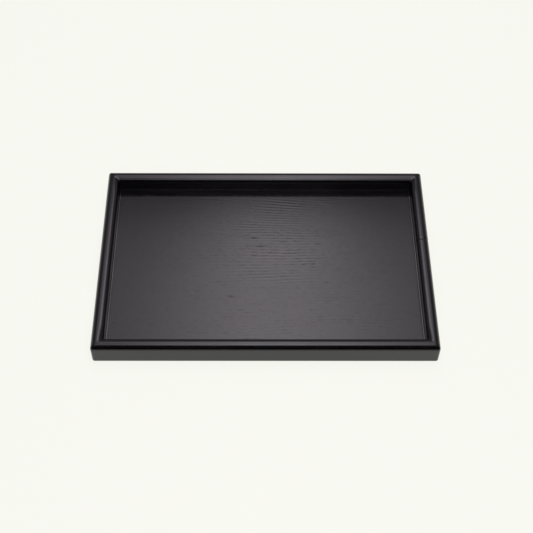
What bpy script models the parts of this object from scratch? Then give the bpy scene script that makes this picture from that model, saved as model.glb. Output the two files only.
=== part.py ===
"""Rectangular black-lacquered tea tray, in metres, +Z up, standing on its rails at z = 0.

Four lengths of one moulding, flat outside and fully rounded on top, meet in mitres. A three-ply panel
sits in their groove. A loose key and two brads hold each mitre, all of them out of sight.
The long side runs along X and the front is at -Y. The origin is at the middle of the underside.
"""

import math

import bmesh
import bpy
from mathutils import Matrix, Vector

# Overall sizes of the tray
TRAY_LENGTH = 0.300
TRAY_DEPTH = 0.200
TRAY_HEIGHT = 0.022

# The rail moulding
RAIL_WIDTH = 0.011
CORNER_RADIUS = 0.0024
ARRIS_RADIUS = 0.0008
LIP_RADIUS = 0.0012
GROOVE_DEPTH = 0.005

# The panel: how high it sits above the table, and its three plies
PANEL_RECESS = 0.0028
BACK_VENEER = 0.0006
CORE_PLY = 0.0022
FACE_VENEER = 0.0006

# The loose key inside each mitre
KEY_WIDTH = 0.0048
KEY_THICKNESS = 0.0020
KEY_CHAMFER = 0.0004
KEY_WALL = 0.0012

# The brads: driven through the side rails into the ends of the front and rear rails
BRAD_LENGTH = 0.014
BRAD_RADIUS = 0.0005
BRAD_HEAD_RADIUS = 0.0008
BRAD_HEAD_THICKNESS = 0.0005
BRAD_TIP_LENGTH = 0.0015
BRAD_TIP_RADIUS = 0.00015
BRAD_COVER = 0.0008
UPPER_BRAD_SHARE = 0.25

# The glue line or clearance between pieces that touch, and how far a cut runs past what it cuts
GLUE_GAP = 0.0003
OVERRUN = 0.004

# How finely round things are stepped
BEAD_STEPS = 32
ARRIS_STEPS = 4
LIP_STEPS = 6
CORNER_STEPS = 6
BRAD_STEPS = 16
KEY_CHAMFER_STEPS = 2

# Sizes that follow from the ones above
BEAD_RADIUS = RAIL_WIDTH / 2
BEAD_CENTRE = TRAY_HEIGHT - BEAD_RADIUS
PANEL_THICKNESS = BACK_VENEER + GLUE_GAP + CORE_PLY + GLUE_GAP + FACE_VENEER
PANEL_TOP = PANEL_RECESS + PANEL_THICKNESS
GROOVE_BOTTOM = PANEL_RECESS - GLUE_GAP
GROOVE_TOP = PANEL_TOP + GLUE_GAP
PANEL_INSET = RAIL_WIDTH - GROOVE_DEPTH + GLUE_GAP
KEY_LENGTH = 2 * math.sqrt(2) * (BEAD_RADIUS - KEY_WALL) - KEY_WIDTH
KEY_HEIGHT = (GROOVE_TOP + BEAD_CENTRE) / 2
BRAD_INSET = (RAIL_WIDTH - GROOVE_DEPTH) / 2
BRAD_HEIGHTS = {
    "lower": PANEL_RECESS + PANEL_THICKNESS / 2,
    "upper": BEAD_CENTRE + UPPER_BRAD_SHARE * BEAD_RADIUS,
}

# Each side of the frame: how far it is turned from the front one
RAIL_TURNS = {"front": 0, "right": 90, "rear": 180, "left": 270}

# Each corner: its name and which way it lies from the middle, along X and along Y
CORNERS = {
    "front_left": (-1, -1),
    "front_right": (1, -1),
    "rear_right": (1, 1),
    "rear_left": (-1, 1),
}

# Finishes: base colour, roughness and metallic
LACQUER = ("black_lacquer", (0.010, 0.009, 0.010), 0.18, 0.0)
STAINED_VENEER = ("black_veneer", (0.016, 0.014, 0.016), 0.36, 0.0)
PLY_WOOD = ("ply_wood", (0.46, 0.32, 0.19), 0.70, 0.0)
KEY_WOOD = ("key_wood", (0.55, 0.38, 0.22), 0.60, 0.0)
STEEL = ("brad_steel", (0.55, 0.55, 0.56), 0.35, 1.0)


def clear_scene():
    """Removes every object that the scene starts with."""
    for obj in list(bpy.data.objects):
        bpy.data.objects.remove(obj, do_unlink=True)


def new_collection(name):
    """A new collection in the scene."""
    collection = bpy.data.collections.new(name)
    bpy.context.scene.collection.children.link(collection)
    return collection


def material_of(finish):
    """The Principled material of a finish, made the first time it is asked for."""
    name, colour, roughness, metallic = finish
    material = bpy.data.materials.get(name)
    if material is None:
        material = bpy.data.materials.new(name)
        material.use_nodes = True
        shader = material.node_tree.nodes["Principled BSDF"]
        shader.inputs["Base Color"].default_value = (*colour, 1.0)
        shader.inputs["Roughness"].default_value = roughness
        shader.inputs["Metallic"].default_value = metallic
    return material


def new_object(name, mesh, collection, finish=None):
    """A new object of this mesh, in this collection, with this finish."""
    obj = bpy.data.objects.new(name, mesh)
    collection.objects.link(obj)
    if finish is not None and not mesh.materials:
        mesh.materials.append(material_of(finish))
    return obj


def hide_as_cutter(obj):
    """Keeps a cutter out of renders and draws it as wires."""
    obj.hide_render = True
    obj.display_type = "WIRE"


def arc(centre, radius, start, end, steps):
    """Points along an arc about centre, from one angle to another in degrees, both ends included."""
    angles = [math.radians(start + (end - start) * i / steps) for i in range(steps + 1)]
    return [(centre[0] + radius * math.cos(a), centre[1] + radius * math.sin(a)) for a in angles]


def extruded_mesh(name, outline, thickness):
    """A closed mesh of a flat outline in its XY plane, with this thickness along Z about that plane."""
    curve = bpy.data.curves.new(name, "CURVE")
    curve.dimensions = "2D"
    curve.fill_mode = "BOTH"
    curve.extrude = thickness / 2
    spline = curve.splines.new("POLY")
    spline.points.add(len(outline) - 1)
    for point, (x, y) in zip(spline.points, outline):
        point.co = (x, y, 0, 1)
    spline.use_cyclic_u = True
    guide = bpy.data.objects.new(name, curve)
    bpy.context.scene.collection.objects.link(guide)
    graph = bpy.context.evaluated_depsgraph_get()
    mesh = bpy.data.meshes.new_from_object(guide.evaluated_get(graph))
    mesh.name = name
    bpy.data.objects.remove(guide, do_unlink=True)
    shape = bmesh.new()
    shape.from_mesh(mesh)
    bmesh.ops.remove_doubles(shape, verts=shape.verts, dist=GLUE_GAP / 100)
    bmesh.ops.recalc_face_normals(shape, faces=shape.faces)
    shape.to_mesh(mesh)
    shape.free()
    return mesh


def rail_outline():
    """The moulding's section: x is the distance in from the outer face, y the height."""
    inner = RAIL_WIDTH
    groove = RAIL_WIDTH - GROOVE_DEPTH
    outer_arris = arc((ARRIS_RADIUS, ARRIS_RADIUS), ARRIS_RADIUS, 270, 180, ARRIS_STEPS)
    bead = arc((BEAD_RADIUS, BEAD_CENTRE), BEAD_RADIUS, 180, 0, BEAD_STEPS)
    lip = arc((inner, GROOVE_TOP), LIP_RADIUS, 90, 0, LIP_STEPS)
    groove_walls = [(groove, GROOVE_TOP), (groove, GROOVE_BOTTOM), (inner, GROOVE_BOTTOM)]
    inner_arris = arc((inner - ARRIS_RADIUS, ARRIS_RADIUS), ARRIS_RADIUS, 0, -90, ARRIS_STEPS)
    return outer_arris + bead + lip + groove_walls + inner_arris


def cut_off(mesh, point, outward):
    """Cuts away what lies on the outward side of a plane, and closes the cut."""
    shape = bmesh.new()
    shape.from_mesh(mesh)
    geometry = shape.verts[:] + shape.edges[:] + shape.faces[:]
    cut = bmesh.ops.bisect_plane(shape, geom=geometry, plane_co=point, plane_no=outward, clear_outer=True)
    rim = [item for item in cut["geom_cut"] if isinstance(item, bmesh.types.BMEdge)]
    bmesh.ops.contextual_create(shape, geom=rim)
    shape.to_mesh(mesh)
    shape.free()


def rail_mesh(side, length):
    """One rail, along X about the origin, with its outer face on y = 0 and a mitre at each end.

    Each mitre face stands half a glue line back from the diagonal of its corner.
    """
    mesh = extruded_mesh(side + "_rail", rail_outline(), length + OVERRUN)
    section_to_rail = Matrix(((0, 0, 1, 0), (1, 0, 0, 0), (0, 1, 0, 0), (0, 0, 0, 1)))
    mesh.transform(section_to_rail)
    for end in (-1, 1):
        outward = Vector((end, 1, 0)).normalized()
        corner = Vector((end * length / 2, 0, 0))
        cut_off(mesh, corner - outward * GLUE_GAP / 2, outward)
    return mesh


def rounded_plan():
    """The tray's outline from above: a rectangle with slightly rounded corners."""
    points = []
    for turn, (x, y) in zip((180, 270, 0, 90), CORNERS.values()):
        centre = (x * (TRAY_LENGTH / 2 - CORNER_RADIUS), y * (TRAY_DEPTH / 2 - CORNER_RADIUS))
        points += arc(centre, CORNER_RADIUS, turn, turn + 90, CORNER_STEPS)
    return points


def add_plan_block(cutters):
    """A block of the tray's outline, taller than the rails: what is left of a rail lies inside it."""
    mesh = extruded_mesh("plan_block", rounded_plan(), TRAY_HEIGHT + 2 * OVERRUN)
    block = new_object("plan_block", mesh, cutters)
    block.location = (0, 0, TRAY_HEIGHT / 2)
    hide_as_cutter(block)
    return block


def box_mesh(name, size):
    """A closed box about the origin."""
    mesh = bpy.data.meshes.new(name)
    shape = bmesh.new()
    bmesh.ops.create_cube(shape, size=1, matrix=Matrix.Diagonal((*size, 1)))
    shape.to_mesh(mesh)
    shape.free()
    return mesh


def chamfer_box(mesh, width):
    """Takes the edges off a box."""
    shape = bmesh.new()
    shape.from_mesh(mesh)
    bmesh.ops.bevel(
        shape,
        geom=shape.edges[:],
        offset=width,
        segments=KEY_CHAMFER_STEPS,
        profile=0.5,
        affect="EDGES",
    )
    shape.to_mesh(mesh)
    shape.free()


def brad_outline(clearance):
    """The brad's section from head to tip, grown by a clearance: radius and distance along it."""
    shank = BRAD_RADIUS + clearance
    head = BRAD_HEAD_RADIUS + clearance
    tip = BRAD_TIP_RADIUS + clearance
    end = BRAD_LENGTH + clearance
    neck = BRAD_HEAD_THICKNESS + clearance
    return [
        (0, -clearance),
        (head, -clearance),
        (head, neck),
        (shank, neck),
        (shank, end - BRAD_TIP_LENGTH),
        (tip, end),
        (0, end),
    ]


def turned_mesh(name, outline, steps):
    """A closed solid turned about Z from a section of radius and height."""
    shape = bmesh.new()
    verts = [shape.verts.new((radius, 0, height)) for radius, height in outline]
    edges = [shape.edges.new(pair) for pair in zip(verts, verts[1:])]
    bmesh.ops.spin(
        shape,
        geom=verts + edges,
        cent=(0, 0, 0),
        axis=(0, 0, 1),
        angle=math.tau,
        steps=steps,
    )
    bmesh.ops.remove_doubles(shape, verts=shape.verts, dist=BRAD_TIP_RADIUS / 100)
    bmesh.ops.recalc_face_normals(shape, faces=shape.faces)
    mesh = bpy.data.meshes.new(name)
    shape.to_mesh(mesh)
    shape.free()
    return mesh


def shade_round(mesh):
    """Shades the rounds smooth and keeps the crisp edges."""
    mesh.shade_smooth()
    mesh.set_sharp_from_angle(angle=math.radians(35))


def mitre_middle(corner):
    """The middle of a mitre from above, at the height of its key."""
    x, y = CORNERS[corner]
    return Vector((x * (TRAY_LENGTH / 2 - BEAD_RADIUS), y * (TRAY_DEPTH / 2 - BEAD_RADIUS), KEY_HEIGHT))


def mitre_turn(corner):
    """The angle about Z of a mitre's diagonal, in radians."""
    x, y = CORNERS[corner]
    return math.atan2(y, x)


def place_key(obj, corner):
    """Puts a key, or its slot, across the middle of a mitre."""
    obj.location = mitre_middle(corner)
    obj.rotation_euler = (0, 0, mitre_turn(corner))


def place_brad(obj, corner, level):
    """Puts a brad, or its hole, under the side rail's outer face, pointing along X into the mitre."""
    x, y = CORNERS[corner]
    head = x * (TRAY_LENGTH / 2 - BRAD_COVER)
    obj.location = (head, y * (TRAY_DEPTH / 2 - BRAD_INSET), BRAD_HEIGHTS[level])
    obj.rotation_euler = (0, -x * math.pi / 2, 0)


def add_corner_cutters(cutters):
    """The key's slot and the brads' holes, for each corner."""
    slot = box_mesh(
        "key_slot",
        (KEY_LENGTH + 2 * GLUE_GAP, KEY_WIDTH + 2 * GLUE_GAP, KEY_THICKNESS + 2 * GLUE_GAP),
    )
    hole = turned_mesh("brad_hole", brad_outline(GLUE_GAP), BRAD_STEPS)
    made = {}
    for corner in CORNERS:
        key_slot = new_object("key_slot_" + corner, slot, cutters)
        place_key(key_slot, corner)
        made[corner] = [key_slot]
        for level in BRAD_HEIGHTS:
            brad_hole = new_object(f"brad_hole_{corner}_{level}", hole, cutters)
            place_brad(brad_hole, corner, level)
            made[corner].append(brad_hole)
    for cutter in cutters.objects:
        hide_as_cutter(cutter)
    return made


def add_boolean(obj, name, operation, other):
    """An exact Boolean between obj and other."""
    modifier = obj.modifiers.new(name, "BOOLEAN")
    modifier.operation = operation
    modifier.solver = "EXACT"
    modifier.object = other


def add_rail(side, parts, block, corner_cutters):
    """One side of the frame, cut for its corners' keys and brads."""
    along_x = side in ("front", "rear")
    length, reach = (TRAY_LENGTH, TRAY_DEPTH / 2) if along_x else (TRAY_DEPTH, TRAY_LENGTH / 2)
    turn = Matrix.Rotation(math.radians(RAIL_TURNS[side]), 4, "Z")
    mesh = rail_mesh(side, length)
    shade_round(mesh)
    rail = new_object(side + "_rail", mesh, parts, LACQUER)
    rail.location = turn @ Vector((0, -reach, 0))
    rail.rotation_euler = (0, 0, math.radians(RAIL_TURNS[side]))
    add_boolean(rail, "rounded corners", "INTERSECT", block)
    for corner, cutters in corner_cutters.items():
        if side in corner.split("_"):
            for cutter in cutters:
                add_boolean(rail, cutter.name, "DIFFERENCE", cutter)


def add_panel(parts):
    """The three plies, from the back up, a glue line apart, with their edges in the groove."""
    length = TRAY_LENGTH - 2 * PANEL_INSET
    depth = TRAY_DEPTH - 2 * PANEL_INSET
    bottom = PANEL_RECESS
    plies = (
        ("panel_back_veneer", BACK_VENEER, STAINED_VENEER),
        ("panel_core_ply", CORE_PLY, PLY_WOOD),
        ("panel_face_veneer", FACE_VENEER, STAINED_VENEER),
    )
    for name, thickness, finish in plies:
        ply = new_object(name, box_mesh(name, (length, depth, thickness)), parts, finish)
        ply.location = (0, 0, bottom + thickness / 2)
        bottom += thickness + GLUE_GAP


def add_keys(parts):
    """The loose key inside each mitre."""
    mesh = box_mesh("corner_key", (KEY_LENGTH, KEY_WIDTH, KEY_THICKNESS))
    chamfer_box(mesh, KEY_CHAMFER)
    for corner in CORNERS:
        place_key(new_object("corner_key_" + corner, mesh, parts, KEY_WOOD), corner)


def add_brads(parts):
    """Two brads for each mitre, one above the other."""
    mesh = turned_mesh("brad", brad_outline(0), BRAD_STEPS)
    shade_round(mesh)
    for corner in CORNERS:
        for level in BRAD_HEIGHTS:
            brad = new_object(f"brad_{corner}_{level}", mesh, parts, STEEL)
            place_brad(brad, corner, level)


def main():
    """Builds the tray."""
    clear_scene()
    parts = new_collection("tea_tray")
    cutters = new_collection("tea_tray_cutters")
    block = add_plan_block(cutters)
    corner_cutters = add_corner_cutters(cutters)
    for side in RAIL_TURNS:
        add_rail(side, parts, block, corner_cutters)
    add_panel(parts)
    add_keys(parts)
    add_brads(parts)


main()
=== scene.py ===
"""Looks of a rectangular black-lacquered tea tray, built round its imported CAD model.

The four mitred rails and the two veneers are new surfaces, computed as whole arrays. The ply core, the
keys and the brads keep their CAD meshes and get finishes of their own. All lengths are in metres, with +Z
up, the long side along X and the front at -Y.
"""

import logging
import math
from dataclasses import dataclass, field
from enum import Enum

import bpy
import numpy as np
from mathutils import Matrix, Vector

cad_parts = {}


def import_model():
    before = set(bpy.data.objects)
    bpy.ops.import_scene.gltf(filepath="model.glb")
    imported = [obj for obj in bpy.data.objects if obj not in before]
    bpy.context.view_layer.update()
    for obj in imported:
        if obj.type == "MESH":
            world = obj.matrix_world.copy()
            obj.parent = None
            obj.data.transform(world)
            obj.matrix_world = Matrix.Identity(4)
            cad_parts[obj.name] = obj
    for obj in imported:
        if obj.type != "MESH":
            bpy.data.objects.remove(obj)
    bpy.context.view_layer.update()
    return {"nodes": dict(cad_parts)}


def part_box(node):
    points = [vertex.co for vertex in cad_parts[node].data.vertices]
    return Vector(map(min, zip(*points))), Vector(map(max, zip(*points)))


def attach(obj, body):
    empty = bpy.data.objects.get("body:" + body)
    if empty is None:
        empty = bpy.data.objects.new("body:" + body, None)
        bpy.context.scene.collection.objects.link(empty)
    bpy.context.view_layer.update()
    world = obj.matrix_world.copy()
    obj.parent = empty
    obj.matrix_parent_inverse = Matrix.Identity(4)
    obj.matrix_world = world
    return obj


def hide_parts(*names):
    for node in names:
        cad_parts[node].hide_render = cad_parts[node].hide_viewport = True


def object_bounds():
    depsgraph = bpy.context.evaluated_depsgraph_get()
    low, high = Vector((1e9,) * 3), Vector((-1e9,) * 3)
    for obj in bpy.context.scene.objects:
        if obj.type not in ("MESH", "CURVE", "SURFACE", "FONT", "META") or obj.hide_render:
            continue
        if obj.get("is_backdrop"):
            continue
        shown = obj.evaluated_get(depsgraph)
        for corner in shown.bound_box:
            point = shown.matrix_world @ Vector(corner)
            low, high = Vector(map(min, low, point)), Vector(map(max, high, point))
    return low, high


BODY = "root"

# Edges that bend by more than this, in degrees, are shaded sharp
SHARP_ANGLE = 38

LOG = logging.getLogger("tea_tray")

Socket = bpy.types.NodeSocket
Value = float | tuple[float, ...] | Socket
Colour = tuple[float, float, float]
Size = tuple[float, float, float]
Place = tuple[float, float, float]

# The low and high end of a range, and what they become
Span = tuple[float, float, float, float]

# The length and width of a noise's features, and where on its lattice it starts
Cells = tuple[float, float, float]

# A shader group's inputs: their labels and types
Rows = tuple[tuple[str, str], ...]
NUMBER = "NodeSocketFloat"
VECTOR = "NodeSocketVector"


class Side(Enum):
    """A side of the frame, with how far its rail is turned about Z from the front one, in degrees."""

    FRONT = 0
    RIGHT = 90
    REAR = 180
    LEFT = 270

    @property
    def along_x(self) -> bool:
        """Whether the rail runs along X."""
        return self in (Side.FRONT, Side.REAR)

    @property
    def node(self) -> str:
        """The name of the rail's CAD node."""
        return self.name.lower() + "_rail"


class Facing(Enum):
    """Which face of a veneer shows, as the sign of its normal along Z."""

    UP = 1
    DOWN = -1


class Smooth:
    """Smooth noise in numpy: lattice values from a seeded generator, blended by 3t^2 - 2t^3."""

    LATTICE = 256

    def __init__(self, seed: int) -> None:
        """Draws the lattice from a generator with this seed."""
        self.values = np.random.default_rng(seed).uniform(-1.0, 1.0, (self.LATTICE, self.LATTICE))

    def at(self, u: np.ndarray, v: np.ndarray) -> np.ndarray:
        """Noise from -1 to 1 whose features are about one unit across.

        Args:
            u: First coordinate of each point.
            v: Second coordinate of each point.

        Returns:
            The noise at each point, in the shape that u and v broadcast to.
        """
        u, v = np.broadcast_arrays(u, v)
        column, row = np.floor(u).astype(int), np.floor(v).astype(int)
        s, t = u - column, v - row
        s, t = s * s * (3 - 2 * s), t * t * (3 - 2 * t)
        left, right = column % self.LATTICE, (column + 1) % self.LATTICE
        below, above = row % self.LATTICE, (row + 1) % self.LATTICE
        low = self.values[left, below] * (1 - s) + self.values[right, below] * s
        high = self.values[left, above] * (1 - s) + self.values[right, above] * s
        return low * (1 - t) + high * t

    def layer(self, x: np.ndarray, y: np.ndarray, cells: Cells) -> np.ndarray:
        """Noise with features of a set length and width: at(x / length + start, y / width + start)."""
        length, width, start = cells
        return self.at(x / length + start, y / width + start)


class Shader:
    """Adds nodes to a tree and links them, so that a finish reads as a list of steps."""

    # A Mix node's colour sockets, by number: its two inputs and its output
    MIX_FIRST, MIX_SECOND, MIX_RESULT = 6, 7, 2

    def __init__(self, tree: bpy.types.NodeTree) -> None:
        """Keeps a material's or a group's node tree."""
        self.tree = tree

    def feed(self, socket: Socket, value: Value) -> None:
        """Links a socket, or sets its value. A colour gets its alpha here.

        Args:
            socket: The input that takes the value.
            value: Another node's output, a number or a tuple of three.
        """
        if isinstance(value, Socket):
            self.tree.links.new(value, socket)
        else:
            socket.default_value = (*value, 1.0) if socket.type == "RGBA" else value

    def fill(self, node: bpy.types.Node, **inputs: Value) -> None:
        """Feeds some inputs of a node, named with an underscore for each space."""
        for name, value in inputs.items():
            self.feed(node.inputs[name.replace("_", " ")], value)

    def add(self, kind: str, settings: dict | None = None, **inputs: Value) -> bpy.types.Node:
        """A new node.

        Args:
            kind: The node's type, without the word ShaderNode.
            settings: The node's own properties.
            inputs: Its inputs by name, with an underscore for each space.

        Returns:
            The node.
        """
        node = self.tree.nodes.new("ShaderNode" + kind)
        for name, setting in (settings or {}).items():
            setattr(node, name, setting)
        self.fill(node, **inputs)
        return node

    def result(self, kind: str, settings: dict, values: tuple[Value, ...]) -> Socket:
        """The first output of a new node that takes its inputs in order.

        Args:
            kind: The node's type, without the word ShaderNode.
            settings: The node's own properties.
            values: What its first inputs take.

        Returns:
            The output.
        """
        node = self.add(kind, settings)
        for socket, value in zip(node.inputs, values):
            self.feed(socket, value)
        return node.outputs[0]

    def math(self, operation: str, *values: Value) -> Socket:
        """The result of a Math node."""
        return self.result("Math", {"operation": operation}, values)

    def product(self, first: Value, *others: Value) -> Socket:
        """The product of some values.

        Args:
            first: The first value.
            others: The values that it is multiplied by, one after another.

        Returns:
            The product.
        """
        for other in others:
            first = self.math("MULTIPLY", first, other)
        return first

    def vector(self, operation: str, *values: Value) -> Socket:
        """The result of a Vector Math node."""
        return self.result("VectorMath", {"operation": operation}, values)

    def mixed(self, share: Value, first: Socket, second: Socket) -> Socket:
        """A shader between two shaders."""
        return self.result("MixShader", {}, (share, first, second))

    def place(self) -> Socket:
        """The object's own coordinates, in metres."""
        return self.add("TexCoord").outputs["Object"]

    def attribute(self, name: str) -> Socket:
        """A number that the mesh carries at its points."""
        return self.add("Attribute", {"attribute_name": name}).outputs["Fac"]

    def attribute_vector(self, name: str) -> Socket:
        """A vector that the mesh carries at its points."""
        return self.add("Attribute", {"attribute_name": name}).outputs["Vector"]

    def noise(self, place: Value, size: Value, detail: float) -> Socket:
        """Noise from 0 to 1: size is that of its features, and detail the number of finer layers."""
        scaled = self.vector("DIVIDE", place, size)
        return self.add("TexNoise", Vector=scaled, Scale=1.0, Detail=detail).outputs[0]

    def remap(self, value: Value, span: Span) -> Socket:
        """A value carried from one range to another, eased at both ends and held there.

        Args:
            value: The value.
            span: The low and high end of its range, and what they become.

        Returns:
            The new value.
        """
        node = self.add("MapRange", {"interpolation_type": "SMOOTHSTEP"}, Value=value)
        for name, number in zip(("From Min", "From Max", "To Min", "To Max"), span):
            self.feed(node.inputs[name], number)
        return node.outputs[0]

    def blend(self, share: Value, first: Value, second: Value) -> Socket:
        """A colour between two colours.

        Args:
            share: How much of the second colour shows, from 0 to 1.
            first: The first colour.
            second: The second colour.

        Returns:
            The colour.
        """
        node = self.add("Mix", {"data_type": "RGBA"}, Factor=share)
        self.feed(node.inputs[self.MIX_FIRST], first)
        self.feed(node.inputs[self.MIX_SECOND], second)
        return node.outputs[self.MIX_RESULT]

    def bump(self, height: Value, distance: float, normal: Socket | None = None) -> Socket:
        """A normal tilted by a height.

        Args:
            height: The height, as a share of the distance.
            distance: How far a height of one stands out.
            normal: A normal that it builds on.

        Returns:
            The normal.
        """
        node = self.add("Bump", None, Height=height, Distance=distance)
        if normal is not None:
            self.feed(node.inputs["Normal"], normal)
        return node.outputs[0]


def new_material(name: str) -> tuple[bpy.types.Material, Shader, bpy.types.Node, bpy.types.Node]:
    """Makes a material with nodes.

    Args:
        name: Its name.

    Returns:
        The material, a shader on it, its Principled node and its output node.
    """
    made = bpy.data.materials.new(name)
    made.use_nodes = True
    nodes = made.node_tree.nodes
    return made, Shader(made.node_tree), nodes["Principled BSDF"], nodes["Material Output"]


@dataclass(frozen=True)
class Effect:
    """A shader group that several finishes share: its name, and its inputs and outputs."""

    name: str
    inputs: Rows
    outputs: tuple[str, ...]

    def start(self) -> tuple[bpy.types.NodeTree, Shader, bpy.types.Node, bpy.types.Node]:
        """Makes the empty group.

        Returns:
            The group, a shader on it, its input node and its output node.
        """
        group = bpy.data.node_groups.new(self.name, "ShaderNodeTree")
        for label, kind in self.inputs:
            group.interface.new_socket(label, in_out="INPUT", socket_type=kind)
        for label in self.outputs:
            group.interface.new_socket(label, in_out="OUTPUT", socket_type=NUMBER)
        shader = Shader(group)
        return group, shader, group.nodes.new("NodeGroupInput"), group.nodes.new("NodeGroupOutput")

    def use(self, shader: Shader, **inputs: Value) -> bpy.types.Node:
        """Places the group in a material, with inputs as in Shader.add, and builds it the first time."""
        group = bpy.data.node_groups.get(self.name) or self.build()
        return shader.add("Group", {"node_tree": group}, **inputs)

    def build(self) -> bpy.types.NodeTree:
        """Fills the group."""
        raise NotImplementedError


@dataclass(frozen=True)
class LongGrain(Effect):
    """Wood pores: short dashes along the grain, and the broader streaks that they lie in."""

    name: str = "long_grain"
    inputs: Rows = (("Place", VECTOR), ("Dash Size", VECTOR), ("Streak Size", VECTOR))
    outputs: tuple[str, ...] = ("Pores", "Streaks")
    dash_detail: float = 1.0
    streak_detail: float = 3.0
    dash_span: Span = (0.54, 0.66, 0.0, 1.0)
    gather_span: Span = (0.35, 0.65, 0.25, 1.0)

    def build(self) -> bpy.types.NodeTree:
        """Makes dashes of a stretched noise's peaks, and thins them out where a broader noise is low.

        Returns:
            The group.
        """
        group, shader, given, made = self.start()
        place = given.outputs["Place"]
        fine = shader.noise(place, given.outputs["Dash Size"], self.dash_detail)
        streaks = shader.noise(place, given.outputs["Streak Size"], self.streak_detail)
        dashes = shader.remap(fine, self.dash_span)
        gathered = shader.remap(streaks, self.gather_span)
        shader.fill(made, Pores=shader.product(dashes, gathered), Streaks=streaks)
        return group


@dataclass(frozen=True)
class EdgeWear(Effect):
    """Where a finish is rubbed thin: along the edges that the mesh marks, in uneven patches."""

    name: str = "edge_wear"
    inputs: Rows = (("Place", VECTOR), ("Edge", NUMBER), ("Patch Size", VECTOR), ("Amount", NUMBER))
    outputs: tuple[str, ...] = ("Mask",)
    patch_detail: float = 4.0
    patch_level: float = 0.62
    rub_span: Span = (0.62, 0.98, 0.0, 1.0)

    def build(self) -> bpy.types.NodeTree:
        """Shifts the edge mark by a noise and keeps it where it is strong.

        Returns:
            The group.
        """
        group, shader, given, made = self.start()
        patches = shader.noise(given.outputs["Place"], given.outputs["Patch Size"], self.patch_detail)
        shifted = shader.math("SUBTRACT", patches, self.patch_level)
        marked = shader.math("ADD", given.outputs["Edge"], shifted)
        rubbed = shader.remap(marked, self.rub_span)
        shader.fill(made, Mask=shader.product(rubbed, given.outputs["Amount"]))
        return group


@dataclass(frozen=True)
class Handling(Effect):
    """What handling leaves on a gloss: cloudy smears, and fine dust specks."""

    name: str = "handling"
    inputs: Rows = (("Place", VECTOR), ("Smear Size", VECTOR), ("Speck Size", VECTOR))
    outputs: tuple[str, ...] = ("Smears", "Specks")
    smear_detail: float = 4.0
    speck_rarity: float = 0.93
    centre_span: Span = (0.05, 0.14, 1.0, 0.0)

    def build(self) -> bpy.types.NodeTree:
        """Makes smears of a broad noise, and specks of the rare centres of small cells.

        Returns:
            The group.
        """
        group, shader, given, made = self.start()
        place = given.outputs["Place"]
        smears = shader.noise(place, given.outputs["Smear Size"], self.smear_detail)
        cells = shader.vector("DIVIDE", place, given.outputs["Speck Size"])
        cell = shader.add("TexVoronoi", None, Vector=cells, Scale=1.0)
        drawn = shader.add("SeparateColor", None, Color=cell.outputs["Color"]).outputs[0]
        rare = shader.math("GREATER_THAN", drawn, self.speck_rarity)
        centres = shader.remap(cell.outputs["Distance"], self.centre_span)
        shader.fill(made, Smears=smears, Specks=shader.product(centres, rare))
        return group


LONG_GRAIN = LongGrain()
EDGE_WEAR = EdgeWear()
HANDLING = Handling()


@dataclass(frozen=True)
class Finish:
    """A finish: the names of its material and of its slot, and its main values.

    The roughness spreads round its main value: rough_spread gives a noise's range, and how much less and
    more rough the finish is at its ends.
    """

    name: str
    slot: str
    colour: Colour
    roughness: float
    rough_spread: Span

    def material(self) -> bpy.types.Material:
        """The finish's material, made the first time it is asked for.

        Returns:
            The material.
        """
        made = bpy.data.materials.get(self.name)
        if made is None:
            made, shader, surface, _ = new_material(self.name)
            shader.fill(surface, Roughness=self.roughness)
            self.paint(shader, surface)
        return made

    def uneven(self, shader: Shader, noise: Socket) -> Socket:
        """The roughness as it spreads with a noise, by rough_spread."""
        low, high, less, more = self.rough_spread
        return shader.remap(noise, (low, high, self.roughness + less, self.roughness + more))

    def paint(self, shader: Shader, surface: bpy.types.Node) -> None:
        """Feeds the material's Principled node, surface."""
        raise NotImplementedError


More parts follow.
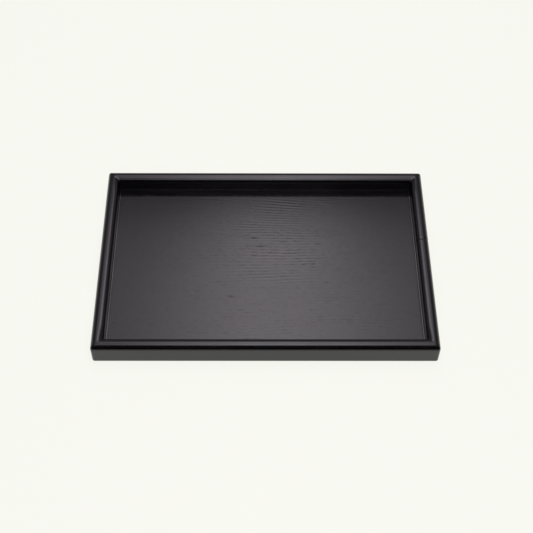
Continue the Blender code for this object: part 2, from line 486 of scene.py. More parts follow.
@dataclass(frozen=True)
class GlossLacquer(Finish):
    """Black lacquer over filled wood: a glossy skin, barely uneven, thin on its edges."""

    name: str = "gloss_black_lacquer"
    slot: str = "black_lacquer"
    colour: Colour = (0.0024, 0.0020, 0.0024)
    roughness: float = 0.20
    rough_spread: Span = (0.3, 0.7, -0.04, 0.05)
    sheen_colour: Colour = (0.96, 0.94, 1.0)
    sheen_level: float = 0.52
    thin_colour: Colour = (0.050, 0.032, 0.024)
    dust_colour: Colour = (0.050, 0.048, 0.046)
    wear_amount: float = 0.75
    wear_dullness: float = 0.18
    speck_share: float = 0.5
    speck_dullness: float = 0.3
    smear_size: Size = (0.045, 0.030, 0.030)
    speck_size: Size = (0.0040, 0.0040, 0.0040)
    peel_size: Size = (0.0022, 0.0018, 0.0018)
    drag_size: Size = (0.060, 0.0012, 0.0012)
    patch_size: Size = (0.0060, 0.0020, 0.0020)
    peel_detail: float = 1.0
    drag_detail: float = 2.0
    peel_depth: float = 0.0000045
    drag_depth: float = 0.0000030

    def paint(self, shader: Shader, surface: bpy.types.Node) -> None:
        """Peel and drag marks tilt the gloss, smears and specks dull it, and edges show the brown below.

        Args:
            shader: The shader that adds nodes to the material.
            surface: The material's Principled node.
        """
        shader.fill(surface, Specular_Tint=self.sheen_colour, Specular_IOR_Level=self.sheen_level)
        place = shader.attribute_vector("rail_place")
        handled = HANDLING.use(shader, Place=place, Smear_Size=self.smear_size, Speck_Size=self.speck_size)
        worn = EDGE_WEAR.use(shader, Place=place, Edge=shader.attribute("edge"),
                             Patch_Size=self.patch_size, Amount=self.wear_amount).outputs["Mask"]
        specks = shader.product(handled.outputs["Specks"], self.speck_share)
        colour = shader.blend(worn, self.colour, self.thin_colour)
        rough = self.uneven(shader, handled.outputs["Smears"])
        for mask, dullness in ((worn, self.wear_dullness), (specks, self.speck_dullness)):
            rough = shader.math("ADD", rough, shader.product(mask, dullness))
        peel = shader.bump(shader.noise(place, self.peel_size, self.peel_detail), self.peel_depth)
        drag = shader.bump(shader.noise(place, self.drag_size, self.drag_detail), self.drag_depth, peel)
        dusty = shader.blend(specks, colour, self.dust_colour)
        shader.fill(surface, Base_Color=dusty, Roughness=rough, Normal=drag)


@dataclass(frozen=True)
class StainedVeneer(Finish):
    """Black-stained open-pored veneer under a thin satin lacquer, with its grain along X."""

    name: str = "satin_black_veneer"
    slot: str = "black_veneer"
    colour: Colour = (0.0015, 0.0012, 0.0015)
    roughness: float = 0.125
    rough_spread: Span = (0.3, 0.7, -0.02, 0.03)
    sheen_colour: Colour = (0.96, 0.91, 1.0)
    sheen_level: float = 0.29
    film_roughness: float = 0.12
    film_thick: float = 0.62
    film_thin: float = 0.22
    pore_dullness: float = 0.12
    pit_dullness: float = 0.22
    light_colour: Colour = (0.0052, 0.0043, 0.0056)
    pore_colour: Colour = (0.0010, 0.0008, 0.0009)
    scuff_colour: Colour = (0.022, 0.021, 0.022)
    tone_span: Span = (0.3, 0.7, 0.0, 1.0)
    valley_span: Span = (0.2, 0.9, 0.15, 1.0)
    dash_size: Size = (0.0065, 0.00042, 0.00042)
    streak_size: Size = (0.055, 0.0028, 0.0028)
    smear_size: Size = (0.060, 0.050, 0.050)
    speck_size: Size = (0.0060, 0.0060, 0.0060)
    pore_depth: float = 0.000022

    def paint(self, shader: Shader, surface: bpy.types.Node) -> None:
        """Pores are darker, duller and sunk, and gather in the valleys that the mesh marks.

        The lacquer film is thinner in the valleys, and missing over the pores and pits.

        Args:
            shader: The shader that adds nodes to the material.
            surface: The material's Principled node.
        """
        shader.fill(surface, Specular_Tint=self.sheen_colour, Specular_IOR_Level=self.sheen_level,
                    Coat_Roughness=self.film_roughness)
        place, figure, pit = shader.place(), shader.attribute("figure"), shader.attribute("pit")
        grain = LONG_GRAIN.use(shader, Place=place, Dash_Size=self.dash_size, Streak_Size=self.streak_size)
        handled = HANDLING.use(shader, Place=place, Smear_Size=self.smear_size, Speck_Size=self.speck_size)
        pores = shader.product(grain.outputs["Pores"], shader.remap(figure, self.valley_span))
        tone = shader.remap(grain.outputs["Streaks"], self.tone_span)
        colour = shader.blend(tone, self.colour, self.light_colour)
        colour = shader.blend(pores, colour, self.pore_colour)
        colour = shader.blend(shader.attribute("scuff"), colour, self.scuff_colour)
        rough = self.uneven(shader, handled.outputs["Smears"])
        for mask, dullness in ((pores, self.pore_dullness), (pit, self.pit_dullness)):
            rough = shader.math("ADD", rough, shader.product(mask, dullness))
        thinned = shader.product(figure, self.film_thin - self.film_thick)
        bare = shader.math("MAXIMUM", pores, pit)
        film = shader.product(shader.math("ADD", self.film_thick, thinned),
                              shader.math("SUBTRACT", 1.0, bare))
        sunk = shader.math("SUBTRACT", 1.0, pores)
        shader.fill(surface, Base_Color=colour, Roughness=rough, Coat_Weight=film,
                    Normal=shader.bump(sunk, self.pore_depth))


@dataclass(frozen=True)
class RawWood(Finish):
    """Bare planed wood with its grain along X."""

    name: str = "raw_ply"
    slot: str = "ply_wood"
    colour: Colour = (0.46, 0.32, 0.19)
    roughness: float = 0.70
    rough_spread: Span = (0.2, 0.8, -0.08, 0.08)
    dark_colour: Colour = (0.30, 0.19, 0.10)
    tone_span: Span = (0.3, 0.7, 0.0, 0.7)
    dash_size: Size = (0.0080, 0.00045, 0.00045)
    streak_size: Size = (0.045, 0.0022, 0.0022)
    pore_depth: float = 0.00003

    def paint(self, shader: Shader, surface: bpy.types.Node) -> None:
        """Streaks vary the colour, and pores darken and sink it.

        Args:
            shader: The shader that adds nodes to the material.
            surface: The material's Principled node.
        """
        grain = LONG_GRAIN.use(shader, Place=shader.place(), Dash_Size=self.dash_size,
                               Streak_Size=self.streak_size)
        pores, streaks = grain.outputs["Pores"], grain.outputs["Streaks"]
        colour = shader.blend(shader.remap(streaks, self.tone_span), self.colour, self.dark_colour)
        sunk = shader.math("SUBTRACT", 1.0, pores)
        shader.fill(surface, Base_Color=shader.blend(pores, colour, self.dark_colour),
                    Roughness=self.uneven(shader, streaks), Normal=shader.bump(sunk, self.pore_depth))


@dataclass(frozen=True)
class DrawnWire(Finish):
    """Bright steel wire, drawn along X."""

    name: str = "drawn_steel"
    slot: str = "brad_steel"
    colour: Colour = (0.55, 0.55, 0.56)
    roughness: float = 0.33
    rough_spread: Span = (0.3, 0.7, -0.06, 0.10)
    dull_colour: Colour = (0.36, 0.35, 0.34)
    draw_size: Size = (0.0060, 0.00012, 0.00012)
    draw_detail: float = 3.0
    draw_depth: float = 0.000004

    def paint(self, shader: Shader, surface: bpy.types.Node) -> None:
        """Drawing marks run along the wire and vary its colour, roughness and normal.

        Args:
            shader: The shader that adds nodes to the material.
            surface: The material's Principled node.
        """
        marks = shader.noise(shader.place(), self.draw_size, self.draw_detail)
        shader.fill(surface, Metallic=1.0, Base_Color=shader.blend(marks, self.colour, self.dull_colour),
                    Roughness=self.uneven(shader, marks), Normal=shader.bump(marks, self.draw_depth))


LACQUER = GlossLacquer()
VENEER = StainedVeneer()
PLY = RawWood()
KEY_WOOD = RawWood(
    name="planed_key_wood",
    slot="key_wood",
    colour=(0.55, 0.38, 0.22),
    roughness=0.60,
    dark_colour=(0.38, 0.25, 0.14),
)
STEEL = DrawnWire()


@dataclass(frozen=True)
class TraySizes:
    """The tray's sizes, read from the CAD frame."""

    length: float
    depth: float
    height: float
    face_high: Vector
    back_low: Vector
    rail_reach: float

    @classmethod
    def read(cls) -> "TraySizes":
        """Reads the boxes of the whole tray, the veneers and the front rail.

        Returns:
            The sizes.
        """
        low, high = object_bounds()
        _, face_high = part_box("panel_face_veneer")
        back_low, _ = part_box("panel_back_veneer")
        rail_low, rail_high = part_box("front_rail")
        return cls(high.x - low.x, high.y - low.y, high.z - low.z, face_high, back_low,
                   rail_high.y - rail_low.y)


def arc(centre: tuple[float, float], radius: float, start: float, end: float, steps: int) -> np.ndarray:
    """Points along an arc: centre + radius * (cos angle, sin angle).

    Args:
        centre: The arc's centre.
        radius: Its radius.
        start: The angle where it starts, in degrees.
        end: The angle where it ends, in degrees.
        steps: How many steps it has.

    Returns:
        An array of steps + 1 points.
    """
    angle = np.radians(np.linspace(start, end, steps + 1))
    return np.column_stack((centre[0] + radius * np.cos(angle), centre[1] + radius * np.sin(angle)))


def straight(start: tuple[float, float], end: tuple[float, float], steps: int) -> np.ndarray:
    """Points between two points: start + (end - start) * k / steps.

    Args:
        start: The first point, left out.
        end: The last point, left out.
        steps: How many steps lie between them.

    Returns:
        An array of steps - 1 points.
    """
    share = np.arange(1, steps)[:, None] / steps
    return np.asarray(start) + (np.asarray(end) - np.asarray(start)) * share


def put_mesh(name: str, points: np.ndarray, faces: list) -> bpy.types.Mesh:
    """Makes a mesh, turned outward if its signed volume, the sum of a . (b x c), is below zero.

    Args:
        name: Its name.
        points: Its points, one to a row.
        faces: The numbers of each face's points, in order.

    Returns:
        The mesh.
    """
    corners = [(f[0], f[i], f[i + 1]) for f in faces for i in range(1, len(f) - 1)]
    a, b, c = (points[np.array(corners)[:, k]] for k in range(3))
    if np.einsum("ij,ij->i", a, np.cross(b, c)).sum() < 0:
        faces = [f[::-1] for f in faces]
    mesh = bpy.data.meshes.new(name)
    mesh.from_pydata(points.tolist(), [], faces)
    mesh.validate()
    return mesh


def mark(mesh: bpy.types.Mesh, name: str, values: np.ndarray) -> None:
    """Writes a number or a vector at each point of a mesh.

    Args:
        mesh: The mesh.
        name: The attribute's name.
        values: One number or one row of three for each point.
    """
    vector = values.ndim == 2
    kind = "FLOAT_VECTOR" if vector else "FLOAT"
    attribute = mesh.attributes.new(name, kind, "POINT")
    attribute.data.foreach_set("vector" if vector else "value", values.astype(np.float32).ravel())


def add_piece(name: str, mesh: bpy.types.Mesh, finish: Finish, *nodes: str) -> None:
    """Adds a finished piece that rides on the tray and stands for CAD nodes.

    Args:
        name: The piece's name.
        mesh: Its mesh, in place.
        finish: Its finish.
        nodes: The CAD nodes that it replaces.
    """
    mesh.shade_smooth()
    mesh.set_sharp_from_angle(angle=math.radians(SHARP_ANGLE))
    obj = bpy.data.objects.new(name, mesh)
    bpy.context.scene.collection.objects.link(obj)
    mesh.materials.append(finish.material())
    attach(obj, BODY)
    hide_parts(*nodes)
    LOG.info("%s: %d faces", name, len(mesh.polygons))


@dataclass
class Moulding:
    """The rails' section, and how a rail is carried along its side and round to its mitres."""

    sizes: TraySizes

    # The section. The lip, arris and corner radii are the CAD model's.
    lip_radius: float = 0.0012
    lip_top: float = 0.00065
    lip_slope: float = 9.5
    lip_nose: float = 0.00012
    rear_lip_share: float = 0.10
    arris_radius: float = 0.0008
    corner_radius: float = 0.0024
    fit: float = 0.00003

    # How finely the section is stepped
    bead_steps: int = 56
    arris_steps: int = 6
    lip_steps: int = 12
    ledge_steps: int = 5
    outer_wall_steps: int = 8
    inner_wall_steps: int = 4
    foot_steps: int = 5

    # Where the section counts as an edge that wears, from 0 to 1
    arris_mark: float = 1.0
    lip_mark: float = 0.35
    foot_mark: float = 0.1

    # The stations along the rail, and round its ends to the mitres
    station_step: float = 0.0030
    fan_reach: float = 0.020
    mitre_round: float = 0.0018
    far_turns: int = 15
    near_turns: int = 22
    near_start: float = 0.86
    near_power: float = 1.6

    # The seam at the mitre, and how far its wear mark reaches, in widths of the seam
    seam_depth: float = 0.00003
    seam_width: float = 0.00030
    seam_gap: float = 0.00001
    seam_mark: float = 0.30
    seam_mark_widths: float = 4.0

    # The side rails' fuller inner shoulder, and how soon it fades in from the mitre
    crown_power: float = 2.8
    crown_fade: float = 0.008

    # The nick, and how many of its widths the closer stations reach
    nick_side: Side = Side.RIGHT
    nick_place: float = 0.0183
    nick_width: float = 0.00070
    nick_depth: float = 0.00045
    nick_widths: float = 3.0
    nick_stations: int = 19

    # The sanded surface's waver, with its width counted in points of the section
    waver_seed: int = 11
    waver_depth: float = 0.000022
    waver_cells: Cells = (0.048, 18.0, 50.5)

    width: float = field(init=False)
    bead_radius: float = field(init=False)
    bead_centre: float = field(init=False)
    groove_inset: float = field(init=False)

    def __post_init__(self) -> None:
        """Works out what follows from the frame."""
        self.width = self.sizes.rail_reach - self.lip_radius
        self.bead_radius = self.width / 2
        self.bead_centre = self.sizes.height - self.bead_radius
        self.groove_inset = self.sizes.length / 2 - self.sizes.face_high.x - self.fit

    def section(self, side: Side) -> tuple[np.ndarray, np.ndarray]:
        """The closed section: foot arris, outer face, half-round bead, inner wall, lip, groove and foot.

        Args:
            side: The rail's side. The rear rail's lip is smaller than the others'.

        Returns:
            Points of inset and height, and how much each lies on an edge, from 0 to 1.
        """
        inner, arris, groove = self.width, self.arris_radius, self.groove_inset
        lip_share = self.rear_lip_share if side is Side.REAR else 1.0
        lip_top, lip_nose = self.lip_top * lip_share, self.lip_nose * lip_share
        top = self.sizes.face_high.z + self.fit
        bottom = self.sizes.back_low.z - self.fit
        nose = (inner + lip_top, top + lip_nose)
        lip_rise = lip_top * math.tan(math.radians(self.lip_slope))
        lip_foot = (inner, nose[1] + lip_nose + lip_rise)
        ledge = straight(lip_foot, (nose[0], nose[1] + lip_nose), self.ledge_steps)
        tip = arc(nose, lip_nose, 90 - self.lip_slope, -90, self.lip_steps)
        lip = np.concatenate(([lip_foot], ledge, tip))
        runs = [
            (arc((arris, arris), arris, 270, 180, self.arris_steps), self.arris_mark),
            (straight((0, arris), (0, self.bead_centre), self.outer_wall_steps), 0.0),
            (arc((self.bead_radius, self.bead_centre), self.bead_radius, 180, 0, self.bead_steps), 0.0),
            (straight((inner, self.bead_centre), lip_foot, self.inner_wall_steps), 0.0),
            (lip, self.lip_mark),
            (np.array([(groove, top), (groove, bottom), (inner, bottom)]), 0.0),
            (arc((inner - arris, arris), arris, 0, -90, self.arris_steps), self.arris_mark),
            (straight((inner - arris, 0), (arris, 0), self.foot_steps), self.foot_mark),
        ]
        marks = np.concatenate([np.full(len(points), edge) for points, edge in runs])
        return np.concatenate([points for points, _ in runs]), marks

    def turns(self) -> np.ndarray:
        """Tangents of the section planes round to the mitre, from 0 to 1, closer together near 1.

        Returns:
            Even steps up to near_start, and then 1 - (1 - near_start) t^p with t from 1 to 0.
        """
        far = np.linspace(0, self.near_start, self.far_turns)[:-1]
        near = 1 - (1 - self.near_start) * np.linspace(1, 0, self.near_turns) ** self.near_power
        return np.concatenate((far, near))

    def rounding(self, profile: np.ndarray) -> np.ndarray:
        """The plan radius at the corner: the outer round, less the inset, and a small one over the bead."""
        rise = np.clip((profile[:, 1] - self.bead_centre) / self.bead_radius, 0, 1)
        return np.maximum(self.corner_radius - profile[:, 0], self.mitre_round * np.sqrt(rise))

    def ends(self, half: float, inset: np.ndarray, turn: np.ndarray,
             rounding: np.ndarray) -> tuple[np.ndarray, np.ndarray]:
        """Where each section point lies in plan, round one end.

        Section planes pivot about P = (half - q, q). On a plane whose tangent is k, a point of inset a is
        at (half - q + (q - a) k, a), or, past the start of the corner's round, on the circle of radius r
        about C = (half - c, c), where c = a + r.

        Args:
            half: Half the rail's length.
            inset: The inset of each section point.
            turn: The tangent of each plane.
            rounding: The radius r of each section point's path.

        Returns:
            The plan coordinates, each turns by section points.
        """
        q, r = self.fan_reach, rounding[None, :]
        k, a = turn[:, None], inset[None, :]
        c = a + r
        along = half - q + (q - a) * k
        across = np.broadcast_to(a, along.shape).copy()
        angle = np.arctan(k)
        ray = np.sin(angle), -np.cos(angle)
        away = c - q, q - c
        dot = ray[0] * away[0] + ray[1] * away[1]
        under = dot**2 - (away[0] ** 2 + away[1] ** 2) + r**2
        reach = -dot + np.sqrt(np.maximum(under, 0))
        rounded = (r > 0) & (along > half - c)
        along = np.where(rounded, half - q + reach * ray[0], along)
        across = np.where(rounded, q + reach * ray[1], across)
        return along, across

    def middle_stations(self, side: Side, half: float) -> np.ndarray:
        """Where the stations between the two ends stand, closer together over the nick.

        Args:
            side: The rail's side.
            half: Half the rail's length.

        Returns:
            Their places along the rail.
        """
        reach = half - self.fan_reach
        count = max(2, round(2 * reach / self.station_step))
        middle = np.linspace(-reach, reach, count + 1)[1:-1]
        if side is self.nick_side:
            widths = np.linspace(-self.nick_widths, self.nick_widths, self.nick_stations)
            middle = np.union1d(middle, self.nick_place + self.nick_width * widths)
        return middle

    def plan(self, side: Side, half: float, profile: np.ndarray) -> tuple[np.ndarray, np.ndarray, np.ndarray]:
        """Where each section point of each station lies in plan: one end, the middle and the other end.

        Args:
            side: The rail's side.
            half: Half the rail's length.
            profile: The section.

        Returns:
            How far each point is along the rail, in from its outer face, and from the mitre's seam.
        """
        turn, inset, middle = self.turns(), profile[:, 0], self.middle_stations(side, half)
        gap = (self.fan_reach - inset) * (1 - turn[:, None]) / math.sqrt(2)
        end = half - self.seam_gap * math.sqrt(2)
        along, across = self.ends(end, inset, turn, self.rounding(profile))
        shape = (len(middle), len(profile))
        return (
            np.concatenate((-along[::-1], np.broadcast_to(middle[:, None], shape), along)),
            np.concatenate((across[::-1], np.broadcast_to(inset, shape), across)),
            np.concatenate((gap[::-1], np.full(shape, self.fan_reach), gap)),
        )

    def dip(self, side: Side, profile: np.ndarray, along: np.ndarray, from_seam: np.ndarray) -> np.ndarray:
        """How far each point sinks along its section's normal.

        The shown skin sinks by the waver, into the seam by depth times exp(-(distance / width)^2), and into
        the nick in the same way. The side rails' crown stands out, and fades in from the seam.

        Args:
            side: The rail's side.
            profile: The section.
            along: How far each point is along the rail.
            from_seam: How far each point is from the seam.

        Returns:
            The depths, stations by section points.
        """
        shown = self.shown(profile)
        seam = self.seam_depth * np.exp(-((from_seam / self.seam_width) ** 2))
        dip = (seam + self.waver(side, along)) * shown
        if not side.along_x:
            dip -= self.crown(profile) * (1 - np.exp(-((from_seam / self.crown_fade) ** 2)))
        if side is self.nick_side:
            on_bead = shown * (profile[:, 1] > self.bead_centre)
            dip += self.nick_depth * on_bead * np.exp(-(((along - self.nick_place) / self.nick_width) ** 2))
        return dip

    def mesh(self, side: Side) -> bpy.types.Mesh:
        """A rail's closed mesh, in place: the section at each station, sunk by its dip.

        Args:
            side: The rail's side.

        Returns:
            The mesh, with its edge marks and its place along and round the rail.
        """
        half = (self.sizes.length if side.along_x else self.sizes.depth) / 2
        reach = (self.sizes.depth if side.along_x else self.sizes.length) / 2
        profile, marks = self.section(side)
        along, across, from_seam = self.plan(side, half, profile)
        dip = self.dip(side, profile, along, from_seam)
        inward = -self.normals(profile)
        across = across + dip * inward[:, 0] - reach
        up = profile[:, 1] + dip * inward[:, 1]
        points = np.stack((along, across, up), axis=2).reshape(-1, 3)
        turned = points @ np.array(Matrix.Rotation(math.radians(side.value), 3, "Z")).T
        mesh = put_mesh(side.node + "_surface", turned, self.tube_faces(*along.shape))
        run = np.concatenate(([0], np.cumsum(np.linalg.norm(np.diff(profile, axis=0), axis=1))))
        place = np.stack(np.broadcast_arrays(along, run, float(side.value)), axis=2)
        seam_edge = self.seam_mark * np.exp(-from_seam / (self.seam_mark_widths * self.seam_width))
        mark(mesh, "edge", np.maximum(marks, seam_edge).ravel())
        mark(mesh, "rail_place", place.reshape(-1, 3))
        return mesh

    @staticmethod
    def normals(profile: np.ndarray) -> np.ndarray:
        """The outward normal at each point of the closed section, square to the line of its neighbours.

        Args:
            profile: The section.

        Returns:
            The normals, one to a row.
        """
        tangent = np.roll(profile, -1, axis=0) - np.roll(profile, 1, axis=0)
        normal = np.column_stack((-tangent[:, 1], tangent[:, 0]))
        return normal / np.linalg.norm(normal, axis=1)[:, None]

    def crown(self, profile: np.ndarray) -> np.ndarray:
        """How far a bead with a flatter inner shoulder, x^p + z^p = r^p, stands out from the half-round.

        Args:
            profile: The section.

        Returns:
            The distance at each point, 0 off the inner shoulder.
        """
        share = (profile - (self.bead_radius, self.bead_centre)) / self.bead_radius
        on_bead = (share > 0).all(axis=1) & (profile[:, 0] < self.width + self.fit)
        total = np.where(on_bead, (np.abs(share) ** self.crown_power).sum(axis=1), 1.0)
        return np.where(on_bead, self.bead_radius * (total ** (-1 / self.crown_power) - 1), 0.0)

    def shown(self, profile: np.ndarray) -> np.ndarray:
        """Which points of the section lie on its shown skin.

        Args:
            profile: The section.

        Returns:
            1 on the skin, and 0 in the groove and on the foot.
        """
        groove_top = self.sizes.face_high.z + 2 * self.fit
        in_groove = (profile[:, 0] > self.groove_inset - self.fit) & (profile[:, 1] < groove_top)
        on_foot = profile[:, 1] < self.fit
        return np.where(in_groove | on_foot, 0.0, 1.0)

    def waver(self, side: Side, along: np.ndarray) -> np.ndarray:
        """How far the sanded bead lies under its true shape: depth times noise carried to 0..1.

        Args:
            side: The rail's side.
            along: How far each point is along the rail.

        Returns:
            The depths, stations by section points.
        """
        order = np.arange(along.shape[1])[None, :]
        noise = Smooth(self.waver_seed + side.value).layer(along, order, self.waver_cells)
        return self.waver_depth * (0.5 + 0.5 * noise)

    @staticmethod
    def tube_faces(stations: int, points: int) -> list:
        """Quads between stations, and a cap at each end.

        Args:
            stations: How many stations there are.
            points: How many points each has.

        Returns:
            The numbers of each face's points.
        """
        row = np.arange(stations - 1)[:, None] * points
        now = np.arange(points)[None, :]
        then = (now + 1) % points
        quads = np.stack((row + now, row + then, row + points + then, row + points + now), axis=2)
        last = (stations - 1) * points
        caps = [tuple(range(points))[::-1], tuple(range(last, last + points))]
        return [tuple(q) for q in quads.reshape(-1, 4).tolist()] + caps

    def build(self) -> None:
        """Makes the four rails."""
        for side in Side:
            add_piece(side.node + "_lacquered", self.mesh(side), LACQUER, side.node)


@dataclass(frozen=True)
class Fleck:
    """A small mark on a veneer: its middle, its half length and half width, and its slope off X."""

    x: float
    y: float
    half_length: float
    half_width: float
    slope: float = 0.0

    def at(self, x: np.ndarray, y: np.ndarray) -> np.ndarray:
        """How strongly it shows at each place: exp(-(along / length)^2 - (off / width)^2)."""
        off = y - self.y - self.slope * (x - self.x)
        return np.exp(-(((x - self.x) / self.half_length) ** 2) - (off / self.half_width) ** 2)


def strongest(flecks: tuple[Fleck, ...], x: np.ndarray, y: np.ndarray) -> np.ndarray:
    """The strongest of some marks at each place.

    Args:
        flecks: The marks.
        x: Places along the grain.
        y: Places across it.

    Returns:
        How strongly it shows at each place, 0 if there are no marks.
    """
    return np.max([fleck.at(x, y) for fleck in flecks], axis=0) if flecks else np.zeros(x.shape)


FACE_PITS = (
    Fleck(-0.0047, 0.0207, 0.0060, 0.0006),
    Fleck(-0.0103, 0.0301, 0.0026, 0.0008),
    Fleck(-0.0317, -0.0359, 0.0030, 0.0005),
)
FACE_SCUFFS = (Fleck(0.0555, 0.0714, 0.0080, 0.0006, -0.35),)


@dataclass
class VeneerSheet:
    """A veneer with the relief of its grain: rings as slow waves across the grain, a little astray."""

    node: str
    facing: Facing
    seed: int
    pits: tuple[Fleck, ...] = ()
    scuffs: tuple[Fleck, ...] = ()
    columns: int = 144
    rows: int = 520

    # The rings, how deep they are, and how they fan out toward the rear
    ring_spacing: float = 0.0034
    ring_strength: float = 0.52
    relief: float = 0.000024
    fan: float = 2.2
    fan_start: float = 0.028

    # How far noise bends them, and where it fades them
    waver: float = 0.0022
    bend_cells: Cells = (0.090, 0.045, 40.5)
    ripple_cells: Cells = (0.022, 0.012, 0.0)
    ripple_share: float = 0.3
    fade_cells: Cells = (0.026, 0.007, 60.5)

    # The patch where they show most
    patch_middle: tuple[float, float] = (0.011, 0.024)
    patch_reach: float = 0.042
    patch_waver: float = 0.40
    patch_cells: Cells = (0.040, 0.016, 90.5)
    quiet_share: float = 0.25

    def relief_at(self, x: np.ndarray, y: np.ndarray) -> np.ndarray:
        """The grain's depth from 0 to 1: 0.5 - 0.5 s cos of the ring phase, which noise bends and fades.

        The rings fan out toward the rear. Their strength s is highest in a patch, where it follows
        exp(-(distance / reach)^4).

        Args:
            x: Places along the grain.
            y: Places across it.

        Returns:
            The depth at each place.
        """
        noise, fade = Smooth(self.seed), Smooth(self.seed + 1)
        bend = noise.layer(x, y, self.bend_cells) + self.ripple_share * noise.layer(x, y, self.ripple_cells)
        fanned = y + self.fan * np.maximum(y - self.fan_start, 0) * x
        phase = (fanned + self.waver * bend) / self.ring_spacing
        strength = self.ring_strength + (1 - self.ring_strength) * fade.layer(x, y, self.fade_cells)
        away = np.hypot(x - self.patch_middle[0], y - self.patch_middle[1]) / self.patch_reach
        away *= 1 + self.patch_waver * noise.layer(x, y, self.patch_cells)
        patch = self.quiet_share + (1 - self.quiet_share) * np.exp(-(away**4))
        return 0.5 - 0.5 * np.cos(2 * math.pi * phase) * strength * patch

    def build(self, finish: Finish) -> None:
        """Makes the sheet as a closed slab in the place of its CAD node.

        Args:
            finish: Its finish.
        """
        low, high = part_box(self.node)
        x, y = np.meshgrid(np.linspace(low.x, high.x, self.columns + 1),
                           np.linspace(low.y, high.y, self.rows + 1), indexing="ij")
        depth = self.relief_at(x, y)
        shown = high.z if self.facing is Facing.UP else low.z
        hidden = low.z if self.facing is Facing.UP else high.z
        front = np.stack((x, y, shown - self.facing.value * self.relief * depth), axis=2).reshape(-1, 3)
        middle = ((low.x + high.x) / 2, (low.y + high.y) / 2, hidden)
        back = np.concatenate((front[self.rim()], [middle]))
        back[:, 2] = hidden
        mesh = put_mesh(self.node + "_surface", np.concatenate((front, back)), self.faces())
        pit, scuff = strongest(self.pits, x, y), strongest(self.scuffs, x, y)
        for name, values in {"figure": depth, "pit": pit, "scuff": scuff}.items():
            mark(mesh, name, np.concatenate((values.ravel(), np.zeros(len(back)))))
        add_piece(self.node + "_grained", mesh, finish, self.node)

    def grid(self) -> np.ndarray:
        """The number of each point of the shown face, by column and row."""
        return np.arange((self.columns + 1) * (self.rows + 1)).reshape(self.columns + 1, self.rows + 1)

    def rim(self) -> np.ndarray:
        """The numbers of the shown face's edge points, in order round the sheet."""
        grid = self.grid()
        return np.concatenate((grid[:, 0], grid[-1, 1:], grid[-2::-1, -1], grid[0, -2:0:-1]))

    def faces(self) -> list:
        """Quads of the shown face and the four edges, and a fan from the middle of the hidden face.

        Returns:
            The numbers of each face's points.
        """
        grid, rim = self.grid(), self.rim()
        corners = grid[:-1, :-1], grid[1:, :-1], grid[1:, 1:], grid[:-1, 1:]
        front = np.stack(corners, axis=2).reshape(-1, 4)
        below = grid.size + np.arange(len(rim))
        after, after_below = np.roll(rim, -1), np.roll(below, -1)
        sides = np.stack((after, rim, below, after_below), axis=1)
        middle = np.full(len(rim), grid.size + len(rim))
        fan = np.stack((after_below, below, middle), axis=1)
        return [tuple(face) for face in np.concatenate((front, sides)).tolist() + fan.tolist()]


@dataclass
class InnerPieces:
    """The pieces out of sight, which keep their CAD meshes: the ply core, the keys and the brads."""

    nodes: dict[str, bpy.types.Object]

    def build(self) -> None:
        """Gives each piece its finish."""
        for name, obj in sorted(self.nodes.items()):
            finish = self.finish_of(name)
            if finish is not None:
                obj.data.materials.clear()
                obj.data.materials.append(finish.material())
                LOG.info("%s: %s", name, finish.name)

    @staticmethod
    def finish_of(name: str) -> Finish | None:
        """The finish of a CAD node that stays, by the start of its name."""
        starts = {"panel_core": PLY, "corner_key": KEY_WOOD, "brad": STEEL}
        return next((finish for start, finish in starts.items() if name.startswith(start)), None)


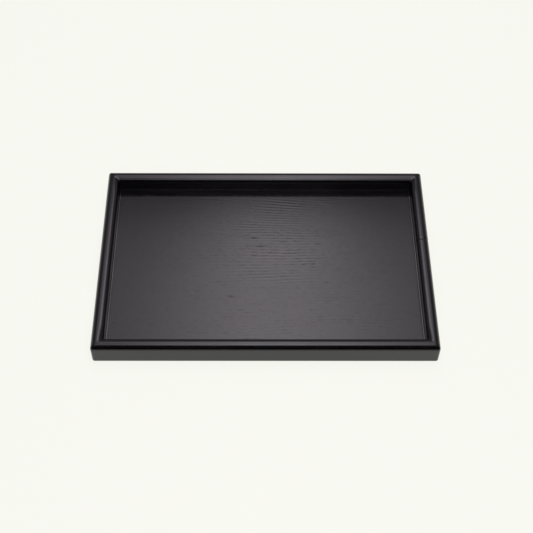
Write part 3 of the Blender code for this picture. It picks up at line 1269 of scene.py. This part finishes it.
@dataclass
class Studio:
    """A pale floor, a long softbox over the tray, two black flags, a dim room and the camera."""

    floor_colour: Colour = (0.947, 0.958, 0.893)
    floor_reach: float = 40.0
    floor_glow_share: float = 0.88
    room_colour: Colour = (0.26, 0.25, 0.26)

    # The softbox: its corners in plan, its bright middle, its wings, and its gains along Y
    box_height: float = 1.0
    box_low: tuple[float, float] = (-1.20, -1.70)
    box_high: tuple[float, float] = (1.20, 0.912)
    box_colour: Colour = (1.0, 0.955, 0.985)
    box_strength: float = 3.3
    box_middle: float = 0.030
    box_front_waist: float = 0.165
    box_rear_waist: float = 0.108
    box_waist_start: float = 0.60
    box_wing_share: float = 0.31
    box_wing_start: float = 0.35
    box_rear_start: float = 0.80
    box_rear_level: float = 0.50
    box_front_start: float = 0.10
    box_front_end: float = -0.50
    box_front_gain: float = 1.30
    box_front_wing_gain: float = 0.34

    # The flags: two corners each
    flag_colour: Colour = (0.004, 0.004, 0.004)
    low_flag: tuple[Place, Place] = ((-0.30, -0.155, 0.0), (0.30, -0.155, 0.143))
    high_flag: tuple[Place, Place] = ((-0.50, -0.60, 0.68), (0.50, -0.60, 0.92))

    # The camera, with its angles in degrees
    image_pixels: float = 533.0
    focal_pixels: float = 1080.472
    sensor: float = 36.0
    clip_near: float = 0.01
    clip_far: float = 200.0
    elevation: float = 53.59
    yaw: float = 0.783
    roll: float = 0.694
    target: Place = (0.001264, 0.002062, 0.0)
    distance: float = 0.996985

    def card(self, name: str, low: Place, high: Place, material: bpy.types.Material) -> bpy.types.Object:
        """A staged rectangle between two corners, level if they share a height and upright otherwise.

        Args:
            name: Its name.
            low: Its first corner.
            high: The corner across from it.
            material: Its material.

        Returns:
            The rectangle's object.
        """
        flat = low[2] == high[2]
        third = (high[0], low[1], low[2]) if flat else (high[0], high[1], low[2])
        fourth = (low[0], high[1], high[2]) if flat else (low[0], low[1], high[2])
        mesh = bpy.data.meshes.new(name)
        mesh.from_pydata([low, third, high, fourth], [], [(0, 1, 2, 3)])
        mesh.materials.append(material)
        obj = bpy.data.objects.new(name, mesh)
        bpy.context.scene.collection.objects.link(obj)
        obj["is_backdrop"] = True
        return obj

    def add_floor(self) -> None:
        """A pale floor: a diffuse part that keeps the shadow, and a glow that eye and gloss both see.

        From below it is clear, so that the tray's underside can be seen.
        """
        material, shader, surface, output = new_material("studio_floor")
        shader.fill(surface, Base_Color=self.floor_colour, Roughness=1.0, Specular_IOR_Level=0.0)
        glow = shader.add("Emission", None, Color=self.floor_colour, Strength=1.0)
        path = shader.add("LightPath").outputs
        seen = shader.math("MAXIMUM", path["Is Camera Ray"], path["Is Glossy Ray"])
        seen = shader.math("MAXIMUM", seen, path["Is Transmission Ray"])
        share = shader.product(seen, self.floor_glow_share)
        lit = shader.mixed(share, surface.outputs[0], glow.outputs[0])
        below = shader.add("NewGeometry").outputs["Backfacing"]
        clear = shader.add("BsdfTransparent").outputs[0]
        shader.fill(output, Surface=shader.mixed(below, lit, clear))
        reach = self.floor_reach
        self.card("studio_floor", (-reach, -reach, 0.0), (reach, reach, 0.0), material)

    def add_softbox(self) -> None:
        """A long softbox: g + (1 - g) exp(-x^2 / 2 w^2), where g are its dimmer wings.

        Here x counts from its bright middle. The waist w narrows toward the rear, the wings fade to the
        sides and the front, and the whole is dimmer at its rear end and brighter at its front.
        """
        material, shader, surface, output = new_material("studio_softbox")
        material.node_tree.nodes.remove(surface)
        (left, front), (right, rear) = self.box_low, self.box_high
        place = shader.add("SeparateXYZ", None, Vector=shader.place()).outputs
        x, y = place[0], place[1]
        waist = shader.remap(y, (self.box_waist_start, rear, self.box_front_waist, self.box_rear_waist))
        share = shader.math("DIVIDE", shader.math("SUBTRACT", x, self.box_middle), waist)
        fall = shader.math("POWER", math.e, shader.product(share, share, -0.5))
        off = shader.math("ABSOLUTE", x)
        wings = shader.remap(off, (self.box_wing_start, right, self.box_wing_share, 0.0))
        wing_gain = (self.box_front_end, self.box_waist_start, self.box_front_wing_gain, 1.0)
        wings = shader.product(wings, shader.remap(y, wing_gain))
        rest = shader.math("SUBTRACT", 1.0, wings)
        level = shader.math("ADD", wings, shader.product(fall, rest))
        rear_gain = shader.remap(y, (self.box_rear_start, rear, 1.0, self.box_rear_level))
        front_gain = shader.remap(y, (self.box_front_end, self.box_front_start, self.box_front_gain, 1.0))
        strength = shader.product(level, shader.product(rear_gain, front_gain), self.box_strength)
        glow = shader.add("Emission", None, Color=self.box_colour, Strength=strength)
        shader.fill(output, Surface=glow.outputs[0])
        height = self.box_height
        box = self.card("studio_softbox", (left, front, height), (right, rear, height), material)
        box.visible_camera = False

    def add_flags(self) -> None:
        """Black flags, low in front of the tray and behind the camera, which only show in reflections."""
        material, shader, surface, _ = new_material("studio_flag")
        shader.fill(surface, Base_Color=self.flag_colour, Specular_IOR_Level=0.0)
        for name, corners in (("studio_low_flag", self.low_flag), ("studio_high_flag", self.high_flag)):
            flag = self.card(name, *corners, material)
            flag.visible_camera = flag.visible_diffuse = flag.visible_shadow = False

    def add_room(self) -> None:
        """A dim, even room."""
        world = bpy.data.worlds.new("studio_room")
        world.use_nodes = True
        background = world.node_tree.nodes["Background"]
        Shader(world.node_tree).fill(background, Color=self.room_colour, Strength=1.0)
        bpy.context.scene.world = world

    def add_camera(self) -> None:
        """The camera, at the photograph's angle: it looks along forward and is rolled about it."""
        data = bpy.data.cameras.new("photo_camera")
        data.sensor_width = self.sensor
        data.lens = self.focal_pixels * self.sensor / self.image_pixels
        data.clip_start, data.clip_end = self.clip_near, self.clip_far
        down, turn, roll = (math.radians(angle) for angle in (self.elevation, self.yaw, self.roll))
        forward = Vector((math.sin(turn) * math.cos(down), math.cos(turn) * math.cos(down), -math.sin(down)))
        level = Vector((math.cos(turn), -math.sin(turn), 0.0))
        upright = level.cross(forward)
        right = level * math.cos(roll) + upright * math.sin(roll)
        up = upright * math.cos(roll) - level * math.sin(roll)
        camera = bpy.data.objects.new("photo_camera", data)
        bpy.context.scene.collection.objects.link(camera)
        turned = Matrix((right, up, -forward)).transposed().to_4x4()
        camera.matrix_world = Matrix.Translation(Vector(self.target) - forward * self.distance) @ turned
        bpy.context.scene.camera = camera

    def build(self) -> None:
        """Sets the stage."""
        self.add_camera()
        self.add_floor()
        self.add_softbox()
        self.add_flags()
        self.add_room()
        bpy.context.scene.view_settings.view_transform = "Standard"


def main() -> None:
    """Builds the tray's looks and the stage."""
    logging.basicConfig(level=logging.INFO, format="%(name)s: %(message)s")
    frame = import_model()
    sizes = TraySizes.read()
    Studio().build()
    Moulding(sizes).build()
    VeneerSheet("panel_face_veneer", Facing.UP, seed=21, pits=FACE_PITS, scuffs=FACE_SCUFFS).build(VENEER)
    VeneerSheet("panel_back_veneer", Facing.DOWN, seed=31).build(VENEER)
    InnerPieces(frame["nodes"]).build()


if __name__ == "__main__":
    main()
